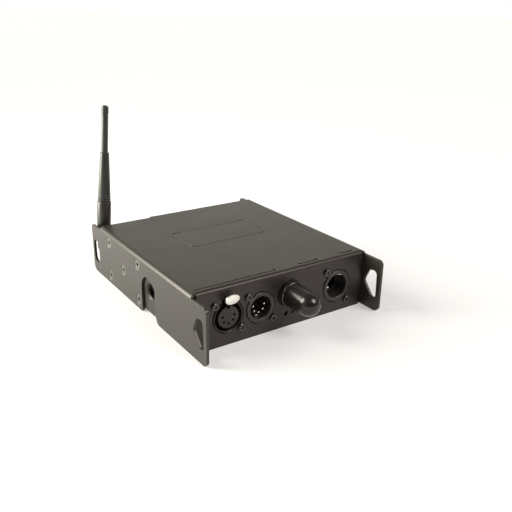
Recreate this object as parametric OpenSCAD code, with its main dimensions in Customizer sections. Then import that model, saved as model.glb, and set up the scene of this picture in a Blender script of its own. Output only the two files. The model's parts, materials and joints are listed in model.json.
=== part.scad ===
// Wireless data receiver in a folded sheet-metal case with carrying ears.
// Millimetres. X runs to the right seen from the front, the front panel faces -Y, +Z is up.
// The origin is the middle of the case's footprint, on the surface that it stands on.

/* [Case] */
// Width over the cover's side plates
body_w = 141; // [136:1:150]
// Depth from the front panel's face to the rear panel's face
body_d = 148; // [144:1:160]
// Height from the standing surface to the top of the cover
body_h = 41; // [40:0.5:44]
// Thickness of the cover's sheet
cover_t = 1.8; // [1.5:0.1:2]
// Thickness of the chassis sheet
chassis_t = 1.5; // [1.2:0.1:1.6]
// Outer radius of the cover's two long bends
cover_bend_r = 3; // [2.5:0.5:4]
// How far the front ears stand out from the front panel
front_ear = 18; // [16:1:22]
// How far the rear ears stand out from the rear panel
rear_ear = 15; // [14:1:18]

/* [Clamp point] */
// Width of the open slot in the left side plate
clamp_slot_w = 21.5; // [20:0.5:23]
// Height of the clamp thread's centre
clamp_z = 19; // [18:0.5:20]
// Distance of the clamp thread behind the front panel's face
clamp_back = 60.8; // [58:0.2:63]
// Radius of the clamp thread's wall, an M12 tapping bore
clamp_bore_r = 5.1; // [5:0.05:5.2]
// Thickness of the steel mounting bracket behind the left side plate
bracket_t = 4; // [3:0.5:4.5]

/* [Front connectors] */
// Height of the connector row
row_z = 19.7; // [19:0.1:20.5]
// Place of the five-pole data outlet
xlr_out_x = -44.4; // [-45:0.1:-44]
// Place of the five-pole data inlet
xlr_in_x = -19.7; // [-20:0.1:-19]
// Place of the network socket
net_x = 44.4; // [43:0.1:46]
// Radius of the panel cut-outs for the two data connectors
xlr_hole_r = 11.5; // [11.4:0.05:11.6]
// Radius of the panel cut-out for the network socket
net_hole_r = 12.3; // [12.2:0.05:12.4]

/* [Dome] */
// Place of the dome across the panel
dome_x = 3.6; // [3:0.1:4]
// Height of the dome's centre
dome_z = 24.1; // [23.5:0.1:24.5]
// Length of the dome's tapered barrel
dome_len = 20; // [16:0.5:22]
// Radius of the dome's barrel at the panel
dome_r = 8.7; // [8.4:0.1:9]
// Radius of the dome's round end
dome_tip_r = 7.96; // [7.6:0.02:8.2]

/* [Whip antenna] */
// Place of the antenna jack across the rear panel
ant_x = -62.5; // [-62.8:0.1:-62]
// Height of the antenna jack
ant_z = 20; // [19:0.5:21]
// Distance of the fold hinge behind the rear panel
ant_off = 13; // [13:0.1:13.5]
// Angle that the whip leans to the right at rest
ant_lean = 4.9; // [4:0.1:6]
// Length of the whip from the fold hinge to its tip
ant_len = 110; // [105:1:125]

/* [Hidden] */
$fn = 96;

// The case's main planes
half_w = body_w / 2;
front_y = -body_d / 2;
rear_y = body_d / 2;
side_in = half_w - cover_t;
slack = 0.2;
tray_half_w = side_in - slack;
ear_top_z = body_h - 2.3;
ear_front_y = front_y - front_ear;
ear_rear_y = rear_y + rear_ear;

// The front panel's top flange, and the cover's edge behind it
flange_depth = 4.5;
flange_bend_r = 2.5;
flange_half = 66.9;
seam_y = front_y + flange_depth;
seam_gap = 0.12;
slit_w = 1.8;
slit_len = 2.6;
open_seam = 1.3;
// Start and end of each wide stretch of the seam, across the panel
open_seams = [[-66.5, -5], [15, 30], [51, 61]];
// The cover's rear edge stops short here, to leave room for the antenna
rear_step_x = -27.5;
rear_step = 2;

// Fasteners
m4_head_r = 4;
m4_r = 2;
m3_head_r = 2.9;
// Play at the rim of a countersunk hole
sink_play = 0.3;
m3_r = 1.5;
panel_head_r = 2.65;
panel_screw_r = 1.25;
bracket_screw_yz = [[3.3, 7.2], [3.3, 33.5], [28.6, 20.4], [54, 7.2], [54, 33.5]];
cover_screw_yz = [[-52, 15], [0, 15], [52, 15]];
foot_screw_xy = [[-59.5, -20], [-59.5, 16], [-59.5, 50]];

// Connector fixing screws, from each connector's centre
xlr_screw = 9.7;
net_screw_x = 9.5;
net_screw_z = 12;
xlr_centres = [[xlr_out_x, row_z], [xlr_in_x, row_z]];

// Five poles on one circle, open at the top
pole_circle_r = 4.4;
pole_angles = [170, 220, 270, 320, 370];
pin_contact_r = 0.75;
socket_r = 0.9;
inlet_cavity_r = 8;

// Network connector's cavity, and the tab of its left ground spring from the centre
net_cavity_r = 8.7;
tab_lo = [-9.3, 0.3, -0.1];
tab_hi = [-6.9, 2.5, 0.7];

// Finger of the outlet's push latch, above the connector's centre
finger_half = 3.8;
finger_t = 1.2;
finger_rise = 10.5;

// Status lamp and button, one on each side of the dome's centre
lamp_z = 10.1;
lamp_x = dome_x - 2.9;
button_x = dome_x + 2.9;
lamp_hole_r = 1.8;
button_travel = 0.5;

// Circuit boards
board_t = 1.6;
board_z = 5.5;
board_top = board_z + board_t;
board_lo = [-50, -66];
board_hi = [60, 34];
power_lo = [10, 38];
power_hi = [60, 68];
standoff_xy = [[-46, -44], [56, -60], [-46, 30], [56, 30], [14, 64], [56, 64]];

// Antenna, along the whip from the fold hinge
ant_y = rear_y + ant_off;
jack_r = 3.1;
knuckle_r = 4.3;
tongue_half = 1.7;
cheek_in = 1.8;
cheek_out = 3.6;
pin_r = 1.1;
pin_play = 0.06;
barrel_start = 5;
barrel_r = 5.4;
rib_start = 36.3;
step_at = 74.6;
rod_r = 2.45;
tip_len = 7;

// Power inlet on the rear panel
inlet_x = 40;
inlet_z = 20;
inlet_r = 5.5;

// ---------- shared shapes ----------

// A cylinder along +Y that starts at p
module rod_y(p, r, l) {
    translate(p) rotate([-90, 0, 0]) cylinder(r = r, h = l);
}

// A cone along +Y that starts at p with radius r1 and ends with radius r2
module cone_y(p, r1, r2, l) {
    translate(p) rotate([-90, 0, 0]) cylinder(r1 = r1, r2 = r2, h = l);
}

// A cylinder along +X that starts at p
module rod_x(p, r, l) {
    translate(p) rotate([0, 90, 0]) cylinder(r = r, h = l);
}

// A box between two corners
module block(lo, hi) {
    translate(lo) cube(hi - lo);
}

// What is cut away to round a corner of a flat outline.
// c is the corner and s points from it into the sheet.
module corner_bite(c, s, r) {
    translate(c) difference() {
        translate([s.x > 0 ? -1 : -r, s.y > 0 ? -1 : -r]) square(r + 1);
        translate([s.x * r, s.y * r]) circle(r = r);
    }
}

// A convex outline with round corners of one radius about the given centres, clockwise
module soft_outline(c, r) {
    n = len(c);
    edges = [for (i = [0:n - 1]) let (a = c[i], b = c[(i + 1) % n], d = (b - a) / norm(b - a),
        o = [-d.y, d.x] * (r - 0.01)) [a + o, b + o]];
    polygon([for (e = edges) each e]);
    for (p = c) translate(p) circle(r = r);
}

// A flat outline drawn in Y and Z, made t thick from x on
module plate_x(x, t) {
    translate([x, 0, 0]) rotate([90, 0, 90]) linear_extrude(t) children();
}

// A flat outline drawn in X and Z, made thick from y0 to y1
module plate_y(y0, y1) {
    translate([0, y1, 0]) rotate([90, 0, 0]) linear_extrude(y1 - y0) children();
}

// Round-cornered rectangle about the origin
module soft_rect(w, h, r) {
    difference() {
        square([w, h], center = true);
        for (sx = [-1, 1], sy = [-1, 1]) corner_bite([sx * w / 2, sy * h / 2], [-sx, -sy], r);
    }
}

// A wire through the given points, with a ball at each bend
module wire(points, r) {
    for (i = [0:len(points) - 2]) {
        d = points[i + 1] - points[i];
        translate(points[i])
            rotate([0, acos(d.z / norm(d)), atan2(d.y, d.x)]) cylinder(r = r, h = norm(d), $fn = 24);
    }
    for (i = [1:len(points) - 2]) translate(points[i]) sphere(r = r * 1.15, $fn = 24);
}

// Hexagon prism along +Y, across-flats size af
module hex_y(p, af, l) {
    translate(p) rotate([-90, 0, 0]) cylinder(r = af / 2 / cos(30), h = l, $fn = 6);
}

// ---------- case ----------

// Side plate with both ears, drawn in Y and Z
module side_outline() {
    difference() {
        translate([ear_front_y, 0]) square([ear_rear_y - ear_front_y, ear_top_z]);
        corner_bite([ear_front_y, 0], [1, 1], 4.5);
        corner_bite([ear_front_y, ear_top_z], [1, -1], 3.5);
        corner_bite([ear_rear_y, 0], [-1, 1], 5);
        corner_bite([ear_rear_y, ear_top_z], [-1, -1], 3);
    }
}

// Pointed opening in a front ear
module front_ear_opening() {
    translate([front_y, 0]) soft_outline([[-11, 26.8], [-8.4, 26.3], [-5.3, 19.8], [-11.5, 12.4]], 3);
}

// Round-ended slot in a rear ear
module rear_ear_slot() {
    slot_w = 10;
    slot_h = 19;
    translate([rear_y + 7.2, 17.9]) {
        square([slot_w, slot_h - slot_w], center = true);
        for (s = [-1, 1]) translate([0, s * (slot_h - slot_w) / 2]) circle(d = slot_w);
    }
}

// Open slot under a round arch, through which the clamp bolt reaches the bracket
module clamp_slot() {
    slot_y = front_y + clamp_back;
    slot_r = clamp_slot_w / 2;
    translate([slot_y, clamp_z]) circle(r = slot_r);
    translate([slot_y - slot_r, -1]) square([clamp_slot_w, clamp_z + 1]);
    translate([slot_y - slot_r, 0]) mirror([1, 0]) corner_relief(5);
    translate([slot_y + slot_r, 0]) corner_relief(2);
}

// Rounds the corner where the slot meets the bottom edge
module corner_relief(r) {
    difference() {
        translate([-1, -1]) square(r + 1);
        translate([r, r]) circle(r = r);
    }
}

// Folded top with its two long bends, drawn in X and Z
module cap_outline() {
    low = body_h - 12;
    inner_r = cover_bend_r - cover_t;
    difference() {
        translate([-half_w, low]) square([body_w, body_h - low]);
        for (s = [-1, 1]) corner_bite([s * half_w, body_h], [-s, -1], cover_bend_r);
        difference() {
            translate([-side_in, low - 1]) square([2 * side_in, body_h - cover_t - low + 1]);
            for (s = [-1, 1]) corner_bite([s * side_in, body_h - cover_t], [-s, -1], inner_r);
        }
    }
}

module top_cover() color([0.40, 0.38, 0.35]) {
    front_bend_w = 2.9;
    label_w = 66;
    label_d = 34;
    groove_w = 1.4;
    difference() {
        union() {
            plate_y(seam_y + seam_gap, rear_y) cap_outline();
            // the two bends run on beside the front flange
            for (x = [-half_w, half_w - front_bend_w]) intersection() {
                plate_y(front_y + 0.6, seam_y + 1) cap_outline();
                block([x, front_y, 0], [x + front_bend_w, seam_y + 1, body_h + 1]);
            }
            plate_x(-half_w, cover_t) difference() {
                side_outline();
                clamp_slot();
            }
            plate_x(side_in, cover_t) side_outline();
        }
        // openings in the ears
        plate_x(-half_w - 1, body_w + 2) front_ear_opening();
        plate_x(-half_w - 1, body_w + 2) rear_ear_slot();
        // wide stretches of the front seam, and a relief slit at each inner end
        for (s = open_seams) {
            block([s[0], seam_y - 1, body_h - 3], [s[1], seam_y + open_seam, body_h + 1]);
            for (x = s) if (abs(x) < 66) translate([x - slit_w / 2, seam_y - 1, body_h - 3])
                cube([slit_w, slit_len + 1, 4]);
        }
        // step in the rear edge, ahead of the antenna
        block([-side_in + 1, rear_y - rear_step, body_h - 3], [rear_step_x, rear_y + 1, body_h + 1]);
        block([-half_w - 1, rear_y - rear_step, ear_top_z], [-side_in + 1.01, rear_y + 1, body_h + 1]);
        // plain recessed frame on the top
        translate([1, 12, body_h - 0.35]) linear_extrude(1) difference() {
            soft_rect(label_w, label_d, 5);
            soft_rect(label_w - 2 * groove_w, label_d - 2 * groove_w, 5 - groove_w);
        }
        // countersunk holes on the left side, and on the right side
        for (p = bracket_screw_yz) {
            rod_x([-half_w - 1, p[0], p[1]], m4_r + 0.1, cover_t + 2);
            translate([-half_w - 0.01, p[0], p[1]]) rotate([0, 90, 0])
                cylinder(r1 = m4_head_r + sink_play, r2 = m4_r + 0.1, h = 1.75);
        }
        for (p = cover_screw_yz) {
            rod_x([side_in - 1, p[0], p[1]], m3_r + 0.1, cover_t + 2);
            translate([half_w + 0.01, p[0], p[1]]) rotate([0, -90, 0])
                cylinder(r1 = m3_head_r + sink_play, r2 = m3_r + 0.1, h = 1.5);
        }
    }
}

// Front panel with its top flange, drawn in Y and Z
module front_fold() {
    inner_r = flange_bend_r - chassis_t;
    difference() {
        translate([front_y, 0]) square([flange_depth, body_h]);
        corner_bite([front_y, body_h], [1, -1], flange_bend_r);
        difference() {
            translate([front_y + chassis_t, -1]) square([flange_depth, body_h - chassis_t + 1]);
            corner_bite([front_y + chassis_t, body_h - chassis_t], [1, -1], inner_r);
        }
    }
}

module panel_hole(x, z, r) {
    rod_y([x, front_y - 1, z], r, chassis_t + 2);
}

module chassis_tray() color([0.27, 0.25, 0.23]) {
    rear_top = body_h - cover_t - slack;
    difference() {
        union() {
            plate_x(-tray_half_w, 2 * tray_half_w) front_fold();
            block([-tray_half_w, front_y, 0], [tray_half_w, rear_y, chassis_t]);
            block([-tray_half_w, rear_y - chassis_t, 0], [tray_half_w, rear_y, rear_top]);
            // side flanges, the left one only ahead of the bracket
            block([tray_half_w - chassis_t, -66, 0], [tray_half_w, 66, 30]);
            block([-tray_half_w, -66, 0], [-tray_half_w + chassis_t, -34, 30]);
        }
        // round lower corners of the front panel, and round upper corners of the rear one
        for (s = [-1, 1]) {
            plate_y(front_y - 1, front_y + chassis_t) corner_bite([s * tray_half_w, 0], [-s, 1], 3.5);
            plate_y(rear_y - 2, rear_y + 1) corner_bite([s * tray_half_w, rear_top], [-s, -1], 2);
        }
        // the flange stops short of the cover's bends
        for (s = [-1, 1]) translate([s * (flange_half + 5), seam_y, body_h])
            cube([10, 12, 7.2], center = true);
        // the base keeps clear of the clamp slot
        block([-tray_half_w - 1, front_y + clamp_back - 20, -1], [-64.5, front_y + clamp_back + 16, 3]);
        for (c = xlr_centres) {
            panel_hole(c[0], c[1], xlr_hole_r);
            for (s = [-1, 1]) panel_hole(c[0] + s * xlr_screw, c[1] - s * xlr_screw, panel_screw_r + 0.15);
        }
        // finger of the push latch
        finger_way(0.6, front_y + 3);
        panel_hole(net_x, row_z, net_hole_r);
        for (s = [-1, 1])
            panel_hole(net_x + s * net_screw_x, row_z - s * net_screw_z, panel_screw_r + 0.15);
        panel_hole(dome_x, dome_z, 7.1);
        panel_hole(lamp_x, lamp_z, lamp_hole_r);
        panel_hole(button_x, lamp_z, lamp_hole_r);
        // rear panel
        rod_y([ant_x, rear_y - 3, ant_z], jack_r + 0.1, 5);
        rod_y([inlet_x, rear_y - 3, inlet_z], inlet_r + 0.1, 5);
        // screws
        for (p = cover_screw_yz) rod_x([tray_half_w - 3, p[0], p[1]], m3_r, 5);
        for (p = foot_screw_xy) {
            translate([p[0], p[1], -1]) cylinder(r = m3_r + 0.1, h = 4);
            translate([p[0], p[1], -0.01]) cylinder(r1 = m3_head_r + sink_play, r2 = m3_r + 0.1, h = 1.4);
        }
    }
}

// Steel angle that takes the clamp's load, screwed to the cover and to the base
module mounting_bracket() color([0.45, 0.44, 0.41]) {
    x0 = -side_in;
    x1 = x0 + bracket_t;
    y0 = -30;
    y1 = 62;
    difference() {
        union() {
            block([x0, y0, 2.4], [x1, y1, 37.5]);
            block([x0 + 1, y0 + 24, chassis_t], [-54, y1, chassis_t + 3]);
            block([x0 + bracket_t - 1, y0, chassis_t + 0.9], [-54, y0 + 24.01, chassis_t + 3]);
        }
        rod_x([x0 - 1, front_y + clamp_back, clamp_z], 7, bracket_t + 2);
        for (p = bracket_screw_yz) rod_x([x0 - 1, p[0], p[1]], m4_r, bracket_t + 2);
        for (p = foot_screw_xy) translate([p[0], p[1], 0]) cylinder(r = m3_r, h = 8);
    }
}

// Pressed-in threaded bush, flush with the bracket's face
module clamp_bush() color([0.62, 0.60, 0.55]) {
    x0 = -side_in;
    bush_len = 12;
    mouth_r = 6.2;
    y = front_y + clamp_back;
    difference() {
        union() {
            rod_x([x0 + 0.1, y, clamp_z], 7, bush_len - 0.1);
            rod_x([x0 + bracket_t, y, clamp_z], 8.6, 2.5);
        }
        rod_x([x0 - 1, y, clamp_z], clamp_bore_r, bush_len + 2);
        translate([x0 + 0.09, y, clamp_z]) rotate([0, 90, 0])
            cylinder(r1 = mouth_r, r2 = clamp_bore_r, h = mouth_r - clamp_bore_r);
    }
}

// Countersunk screw along +Z with its head's face at z = 0 and its shank below
module flat_screw(head_r, shank_r, head_h, l, key) {
    difference() {
        union() {
            translate([0, 0, -head_h]) cylinder(r1 = shank_r, r2 = head_r, h = head_h);
            translate([0, 0, -l]) cylinder(r = shank_r, h = l - head_h + 0.01);
        }
        translate([0, 0, -head_h * 0.75]) cylinder(d = key / cos(30), h = head_h, $fn = 6);
    }
}

// Low round-headed screw along +Z with its head on z = 0 and its shank below
module round_screw(head_r, shank_r, head_h, l, key) {
    difference() {
        union() {
            cylinder(r1 = head_r, r2 = head_r * 0.88, h = head_h);
            translate([0, 0, -l]) cylinder(r = shank_r, h = l + 0.01);
        }
        translate([0, 0, head_h * 0.35]) cylinder(d = key / cos(30), h = head_h, $fn = 6);
    }
}

module bracket_screws() color([0.55, 0.53, 0.48]) {
    for (p = bracket_screw_yz) translate([-half_w + 0.15, p[0], p[1]]) rotate([0, -90, 0])
        flat_screw(m4_head_r, m4_r - 0.02, 1.6, 6.5, 2.5);
}

module cover_screws() color([0.30, 0.29, 0.27]) {
    for (p = cover_screw_yz) translate([half_w - 0.1, p[0], p[1]]) rotate([0, 90, 0])
        flat_screw(m3_head_r, m3_r - 0.02, 1.4, 6, 2);
}

module foot_screws() color([0.30, 0.29, 0.27]) {
    for (p = foot_screw_xy) translate([p[0], p[1], 0.1]) rotate([180, 0, 0])
        flat_screw(m3_head_r, m3_r - 0.02, 1.3, 4.3, 2);
}

// ---------- data connectors ----------

// Housing behind the panel with a round nose through it; cavity is open to the front
module connector_shell(x, flange_w, flange_h, nose_r, body_r, cavity_r, cavity_deep, body_len) {
    nose_y = front_y - 0.5;
    back_y = front_y + chassis_t;
    flange_t = 2.5;
    lip = 0.3;
    difference() {
        union() {
            cone_y([x, nose_y, row_z], nose_r - lip, nose_r, lip);
            rod_y([x, nose_y + lip, row_z], nose_r, 5 - lip);
            plate_y(back_y, back_y + flange_t) translate([x, row_z]) soft_rect(flange_w, flange_h, 2);
            rod_y([x, back_y + flange_t - 0.01, row_z], body_r, body_len);
        }
        rod_y([x, nose_y - 1, row_z], cavity_r, cavity_deep + 1);
        cone_y([x, nose_y - 0.01, row_z], cavity_r + lip, cavity_r, lip);
    }
}

// Where the five poles sit in X and Z; side is 1 for sockets and -1 for pins, which mirror them
function poles(x, side) =
    [for (a = pole_angles) [x + side * pole_circle_r * cos(a), row_z + pole_circle_r * sin(a)]];

module xlr_screw_holes(x) {
    for (s = [-1, 1]) rod_y([x + s * xlr_screw, front_y, row_z - s * xlr_screw], panel_screw_r, 8);
}

// Room for the latch's finger with play all round it, from the front as far back as end_y
module finger_way(play, end_y) {
    block([xlr_out_x - finger_half - play, front_y - 2, row_z + finger_rise - 1.2],
          [xlr_out_x + finger_half + play, end_y, row_z + finger_rise + finger_t + play]);
}

module xlr_out_shell() color([0.16, 0.15, 0.14]) {
    difference() {
        connector_shell(xlr_out_x, 24.4, 25, xlr_hole_r - 0.8, 10.6, 9.9, 15, 16);
        xlr_screw_holes(xlr_out_x);
        // guide for the latch's finger
        finger_way(0.4, front_y + 14);
        // seat of the insert
        rod_y([xlr_out_x, front_y, row_z], 5, 19);
    }
}

// Round insert with five sockets and a key slot
module xlr_out_insert() color([0.22, 0.21, 0.20]) {
    face_y = front_y - 0.4;
    difference() {
        union() {
            rod_y([xlr_out_x, face_y, row_z], 7.5, 14.8);
            rod_y([xlr_out_x, face_y + 14.79, row_z], 4.98, 3.2);
        }
        for (p = poles(xlr_out_x, 1)) rod_y([p[0], face_y - 1, p[1]], socket_r, 14);
        block([xlr_out_x - 1, face_y - 1, row_z + 5.8], [xlr_out_x + 1, face_y + 10, row_z + 9]);
    }
}

module xlr_out_contacts() color([0.72, 0.60, 0.36]) {
    for (p = poles(xlr_out_x, 1)) difference() {
        rod_y([p[0], front_y + 2.8, p[1]], socket_r - 0.02, 9);
        rod_y([p[0], front_y, p[1]], socket_r - 0.3, 9);
    }
}

// Push latch: an oval thumb plate on a flat finger
module xlr_out_latch() color([0.88, 0.86, 0.80]) {
    plate_z = row_z + 14.04;
    plate_y = front_y - 5;
    plate_lean = 8;
    plate_w = 10.2;
    plate_h = 6.7;
    plate_th = 1.2;
    straight = plate_w - plate_h;
    translate([xlr_out_x, plate_y, plate_z]) rotate([90 + plate_lean, 0, 0])
        translate([0, 0, -plate_th / 2]) {
            for (s = [-1, 1]) translate([s * straight / 2, 0, 0]) cylinder(d = plate_h, h = plate_th);
            translate([-straight / 2, -plate_h / 2, 0]) cube([straight, plate_h, plate_th]);
        }
    finger_z = row_z + finger_rise;
    block([xlr_out_x - finger_half, plate_y + 0.1, finger_z],
          [xlr_out_x + finger_half, front_y + 11.5, finger_z + finger_t]);
}

module xlr_in_shell() color([0.16, 0.15, 0.14]) {
    difference() {
        connector_shell(xlr_in_x, 24.4, 25, xlr_hole_r - 0.7, 10.6, inlet_cavity_r, 15, 16);
        xlr_screw_holes(xlr_in_x);
        for (p = poles(xlr_in_x, -1)) rod_y([p[0], front_y + 10, p[1]], pin_contact_r + 0.01, 14);
    }
}

// Five round-tipped contact pins
module xlr_in_pins() color([0.85, 0.83, 0.76]) {
    for (p = poles(xlr_in_x, -1)) translate([p[0], front_y + 2 + pin_contact_r, p[1]]) {
        rod_y([0, 0, 0], pin_contact_r - 0.02, 20);
        sphere(r = pin_contact_r, $fn = 48);
    }
}

// Flat spring at the bottom of the inlet's cavity that grounds the plug's shell
module xlr_in_ground_spring() color([0.85, 0.84, 0.80]) {
    block([xlr_in_x - 1.1, front_y + 5, row_z - inlet_cavity_r + 0.1],
          [xlr_in_x + 1.1, front_y + 12, row_z - inlet_cavity_r + 0.6]);
}

module net_shell() color([0.16, 0.15, 0.14]) {
    difference() {
        connector_shell(net_x, 26, 31, net_hole_r - 0.7, 12, net_cavity_r, 24, 22);
        for (s = [-1, 1])
            rod_y([net_x + s * net_screw_x, front_y, row_z - s * net_screw_z], panel_screw_r, 8);
        // seat of the left ground spring's tab
        translate([net_x, front_y, row_z])
            block(tab_lo - [0.02, 0.02, 0.02], tab_hi + [0.02, 0.02, 0.02]);
        // window at the back for the socket's circuit tails
        rod_y([net_x, front_y + 20, row_z], 7, 10);
    }
}

// Eight-way modular socket at the bottom of the network connector's cavity
module net_jack() color([0.10, 0.10, 0.10]) {
    jack_y = front_y + 8;
    jack_len = 15.4;
    difference() {
        intersection() {
            rod_y([net_x, jack_y, row_z], net_cavity_r - 0.05, jack_len);
            block([net_x - 9, jack_y, row_z - 7.2], [net_x + 9, jack_y + jack_len, row_z + 7.2]);
        }
        block([net_x - 5.9, jack_y - 1, row_z - 4.1], [net_x + 5.9, jack_y + 12.5, row_z + 3.2]);
        block([net_x - 3.1, jack_y - 1, row_z - 6.2], [net_x + 3.1, jack_y + 12.5, row_z - 4]);
    }
}

module net_contacts() color([0.85, 0.68, 0.30]) {
    pitch = 1.02;
    for (i = [0:7]) block([net_x + (i - 3.5) * pitch - 0.2, front_y + 11, row_z + 2.4],
                          [net_x + (i - 3.5) * pitch + 0.2, front_y + 20.4, row_z + 3.1]);
}

// Two springs that ground the plug's shell: a strip under the cavity's top and a tab at its left
module net_ground_springs() color([0.85, 0.84, 0.80]) {
    strip_r = net_cavity_r - 0.05;
    half_angle = 32;
    intersection() {
        difference() {
            rod_y([net_x, front_y + 0.6, row_z], strip_r, 7);
            rod_y([net_x, front_y, row_z], strip_r - 0.5, 9);
        }
        plate_y(front_y, front_y + 9) translate([net_x, row_z])
            polygon([[0, 0], for (s = [-1, 1]) 12 * [s * sin(half_angle), cos(half_angle)]]);
    }
    translate([net_x, front_y, row_z]) block(tab_lo, tab_hi);
}

module connector_screws() color([0.33, 0.31, 0.28]) {
    spots = concat(
        [for (c = xlr_centres, s = [-1, 1]) [c[0] + s * xlr_screw, row_z - s * xlr_screw]],
        [for (s = [-1, 1]) [net_x + s * net_screw_x, row_z - s * net_screw_z]]);
    for (p = spots) translate([p[0], front_y, p[1]]) rotate([90, 0, 0])
        round_screw(panel_head_r, panel_screw_r - 0.02, 1.6, 6, 2.2);
}

// ---------- dome, lamp and button ----------

// Everything on the dome's axis: +Z here runs out of the panel
module at_dome() {
    translate([dome_x, front_y, dome_z]) rotate([90, 0, 0]) children();
}

module dome_collar() color([0.50, 0.48, 0.44]) at_dome() difference() {
    collar_r = dome_r + 0.8;
    rim_t = 2.3;
    collar_t = 4.2;
    union() {
        cylinder(r = collar_r, h = rim_t);
        translate([0, 0, rim_t]) cylinder(r1 = collar_r, r2 = dome_r + 0.3, h = collar_t - rim_t);
    }
    translate([0, 0, -1]) cylinder(r = dome_r + 0.1, h = collar_t + 2);
}

module dome_cover() color([0.13, 0.12, 0.11]) at_dome() {
    wall = 1.2;
    neck_r = 6.9;
    difference() {
        union() {
            cylinder(r1 = dome_r, r2 = dome_tip_r, h = dome_len);
            translate([0, 0, dome_len]) sphere(r = dome_tip_r);
            translate([0, 0, -8]) cylinder(r = neck_r, h = 8.01);
        }
        translate([0, 0, -9]) cylinder(r = neck_r - wall, h = 9.01);
        cylinder(r = dome_tip_r - wall, h = dome_len);
        translate([0, 0, dome_len]) sphere(r = dome_tip_r - wall - 0.001);
    }
}

module dome_nut() color([0.70, 0.68, 0.62]) at_dome() {
    translate([0, 0, -chassis_t - 3]) difference() {
        cylinder(r = 16 / 2 / cos(30), h = 3, $fn = 6);
        translate([0, 0, -1]) cylinder(r = 6.92, h = 5);
    }
}

// Loaded stub inside the dome: a core with a wound conductor, shown as raised rings
module dome_radiator() color([0.78, 0.55, 0.30]) at_dome() {
    translate([0, 0, -6]) cylinder(r = 1.6, h = 26);
    for (i = [0:6]) translate([0, 0, 2 + i * 2.4]) cylinder(r = 3.2, h = 0.8);
    translate([0, 0, -6.5]) cylinder(r = 4.5, h = 1.5);
}

module status_lens() color([0.20, 0.20, 0.19]) {
    rod_y([lamp_x, front_y + 1.3, lamp_z], lamp_hole_r - 0.05, 6.7);
    block([lamp_x - 2, front_y + 8, board_top], [lamp_x + 2, front_y + 12, lamp_z + 2]);
}

module function_button() color([0.12, 0.12, 0.12]) {
    rod_y([button_x, front_y + 0.9, lamp_z], lamp_hole_r - 0.08, 2.6);
    rod_y([button_x, front_y + 3.49, lamp_z], 1.1, 4);
}

module button_switch() color([0.25, 0.25, 0.25]) {
    front = front_y + 7.59 + button_travel;
    block([button_x - 2.9, front, board_top], [button_x + 2.9, front + 4, lamp_z + 2.8]);
}

// ---------- circuit boards ----------

module main_board() color([0.10, 0.30, 0.16]) {
    difference() {
        block([board_lo.x, board_lo.y, board_z], [board_hi.x, board_hi.y, board_top]);
        for (p = standoff_xy) translate([p[0], p[1], board_z - 1]) cylinder(r = 1.6, h = 4);
    }
}

module power_board() color([0.10, 0.30, 0.16]) {
    difference() {
        block([power_lo.x, power_lo.y, board_z], [power_hi.x, power_hi.y, board_top]);
        for (p = standoff_xy) translate([p[0], p[1], board_z - 1]) cylinder(r = 1.6, h = 4);
    }
}

module board_standoffs() color([0.75, 0.74, 0.70]) {
    for (p = standoff_xy) translate([p[0], p[1], chassis_t]) difference() {
        cylinder(r = 3, h = board_z - chassis_t, $fn = 6);
        translate([0, 0, -1]) cylinder(r = 1.25, h = 8);
    }
}

module board_screws() color([0.70, 0.69, 0.66]) {
    for (p = standoff_xy) translate([p[0], p[1], board_top]) round_screw(2.6, 1.23, 1.6, 4.5, 1.6);
}

// Chips stand on their pads, one row of three and one larger processor
module board_chips() color([0.08, 0.08, 0.08]) {
    block([-4, -30, board_top], [12, -14, board_top + 1.4]);
    for (i = [0:2]) block([-34 + i * 12, -10, board_top], [-27 + i * 12, 0, board_top + 1.6]);
    block([24, -18, board_top], [33, -9, board_top + 1]);
}

module board_capacitors() color([0.15, 0.17, 0.30]) {
    for (p = [[20, 6], [28, 6], [36, 6]]) translate([p[0], p[1], board_top]) cylinder(r = 3.1, h = 8);
    for (p = [[22, 45], [22, 57]]) translate([p[0], p[1], board_top]) cylinder(r = 5, h = 12);
}

module signal_transformers() color([0.12, 0.12, 0.12]) {
    block([36, -40, board_top], [52, -32, board_top + 6]);
    block([-30, -44, board_top], [-18, -34, board_top + 5]);
}

module radio_module() color([0.05, 0.18, 0.30]) {
    block([-46, 2, board_top + 1], [-22, 26, board_top + 2]);
    for (x = [-45, -24]) block([x, 3, board_top], [x + 1, 25, board_top + 1]);
}

module radio_shield() color([0.78, 0.77, 0.74]) {
    lo = [-43, 6, board_top + 2];
    hi = [-27, 24, board_top + 5];
    difference() {
        block(lo, hi);
        block([lo.x + 0.3, lo.y + 0.3, lo.z - 1], [hi.x - 0.3, hi.y - 0.3, hi.z - 0.3]);
    }
}

module power_coil() color([0.35, 0.33, 0.30]) {
    translate([44, 54, board_top]) {
        difference() {
            cylinder(r = 8, h = 7);
            translate([0, 0, -1]) cylinder(r = 3.2, h = 9);
        }
        translate([-11, -6, 0]) cube([2, 12, 9]);
    }
}

// Thin coax leads, each with a small round plug on the radio module
module radio_plug(x, y) {
    translate([x, y, board_top + 2.01]) cylinder(r = 1.3, h = 1.4);
}

module front_coax() color([0.12, 0.12, 0.12]) {
    plug = [-24.5, 16];
    radio_plug(plug.x, plug.y);
    wire([[dome_x, front_y + 6.6, dome_z], [dome_x, front_y + 14, dome_z], [-8, -40, 26],
          [-24, 0, 22], [plug.x, plug.y - 2, 15], [plug.x, plug.y, board_top + 2.9]], 0.65);
}

module rear_coax() color([0.12, 0.12, 0.12]) {
    plug = [-44.5, 22];
    radio_plug(plug.x, plug.y);
    wire([[plug.x, plug.y, board_top + 2.9], [-47, 30, 13], [-55, 46, 17],
          [ant_x + 1, rear_y - 15, ant_z - 1], [ant_x, rear_y - 6.2, ant_z]], 0.65);
}

// ---------- rear jack and whip antenna ----------

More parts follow.
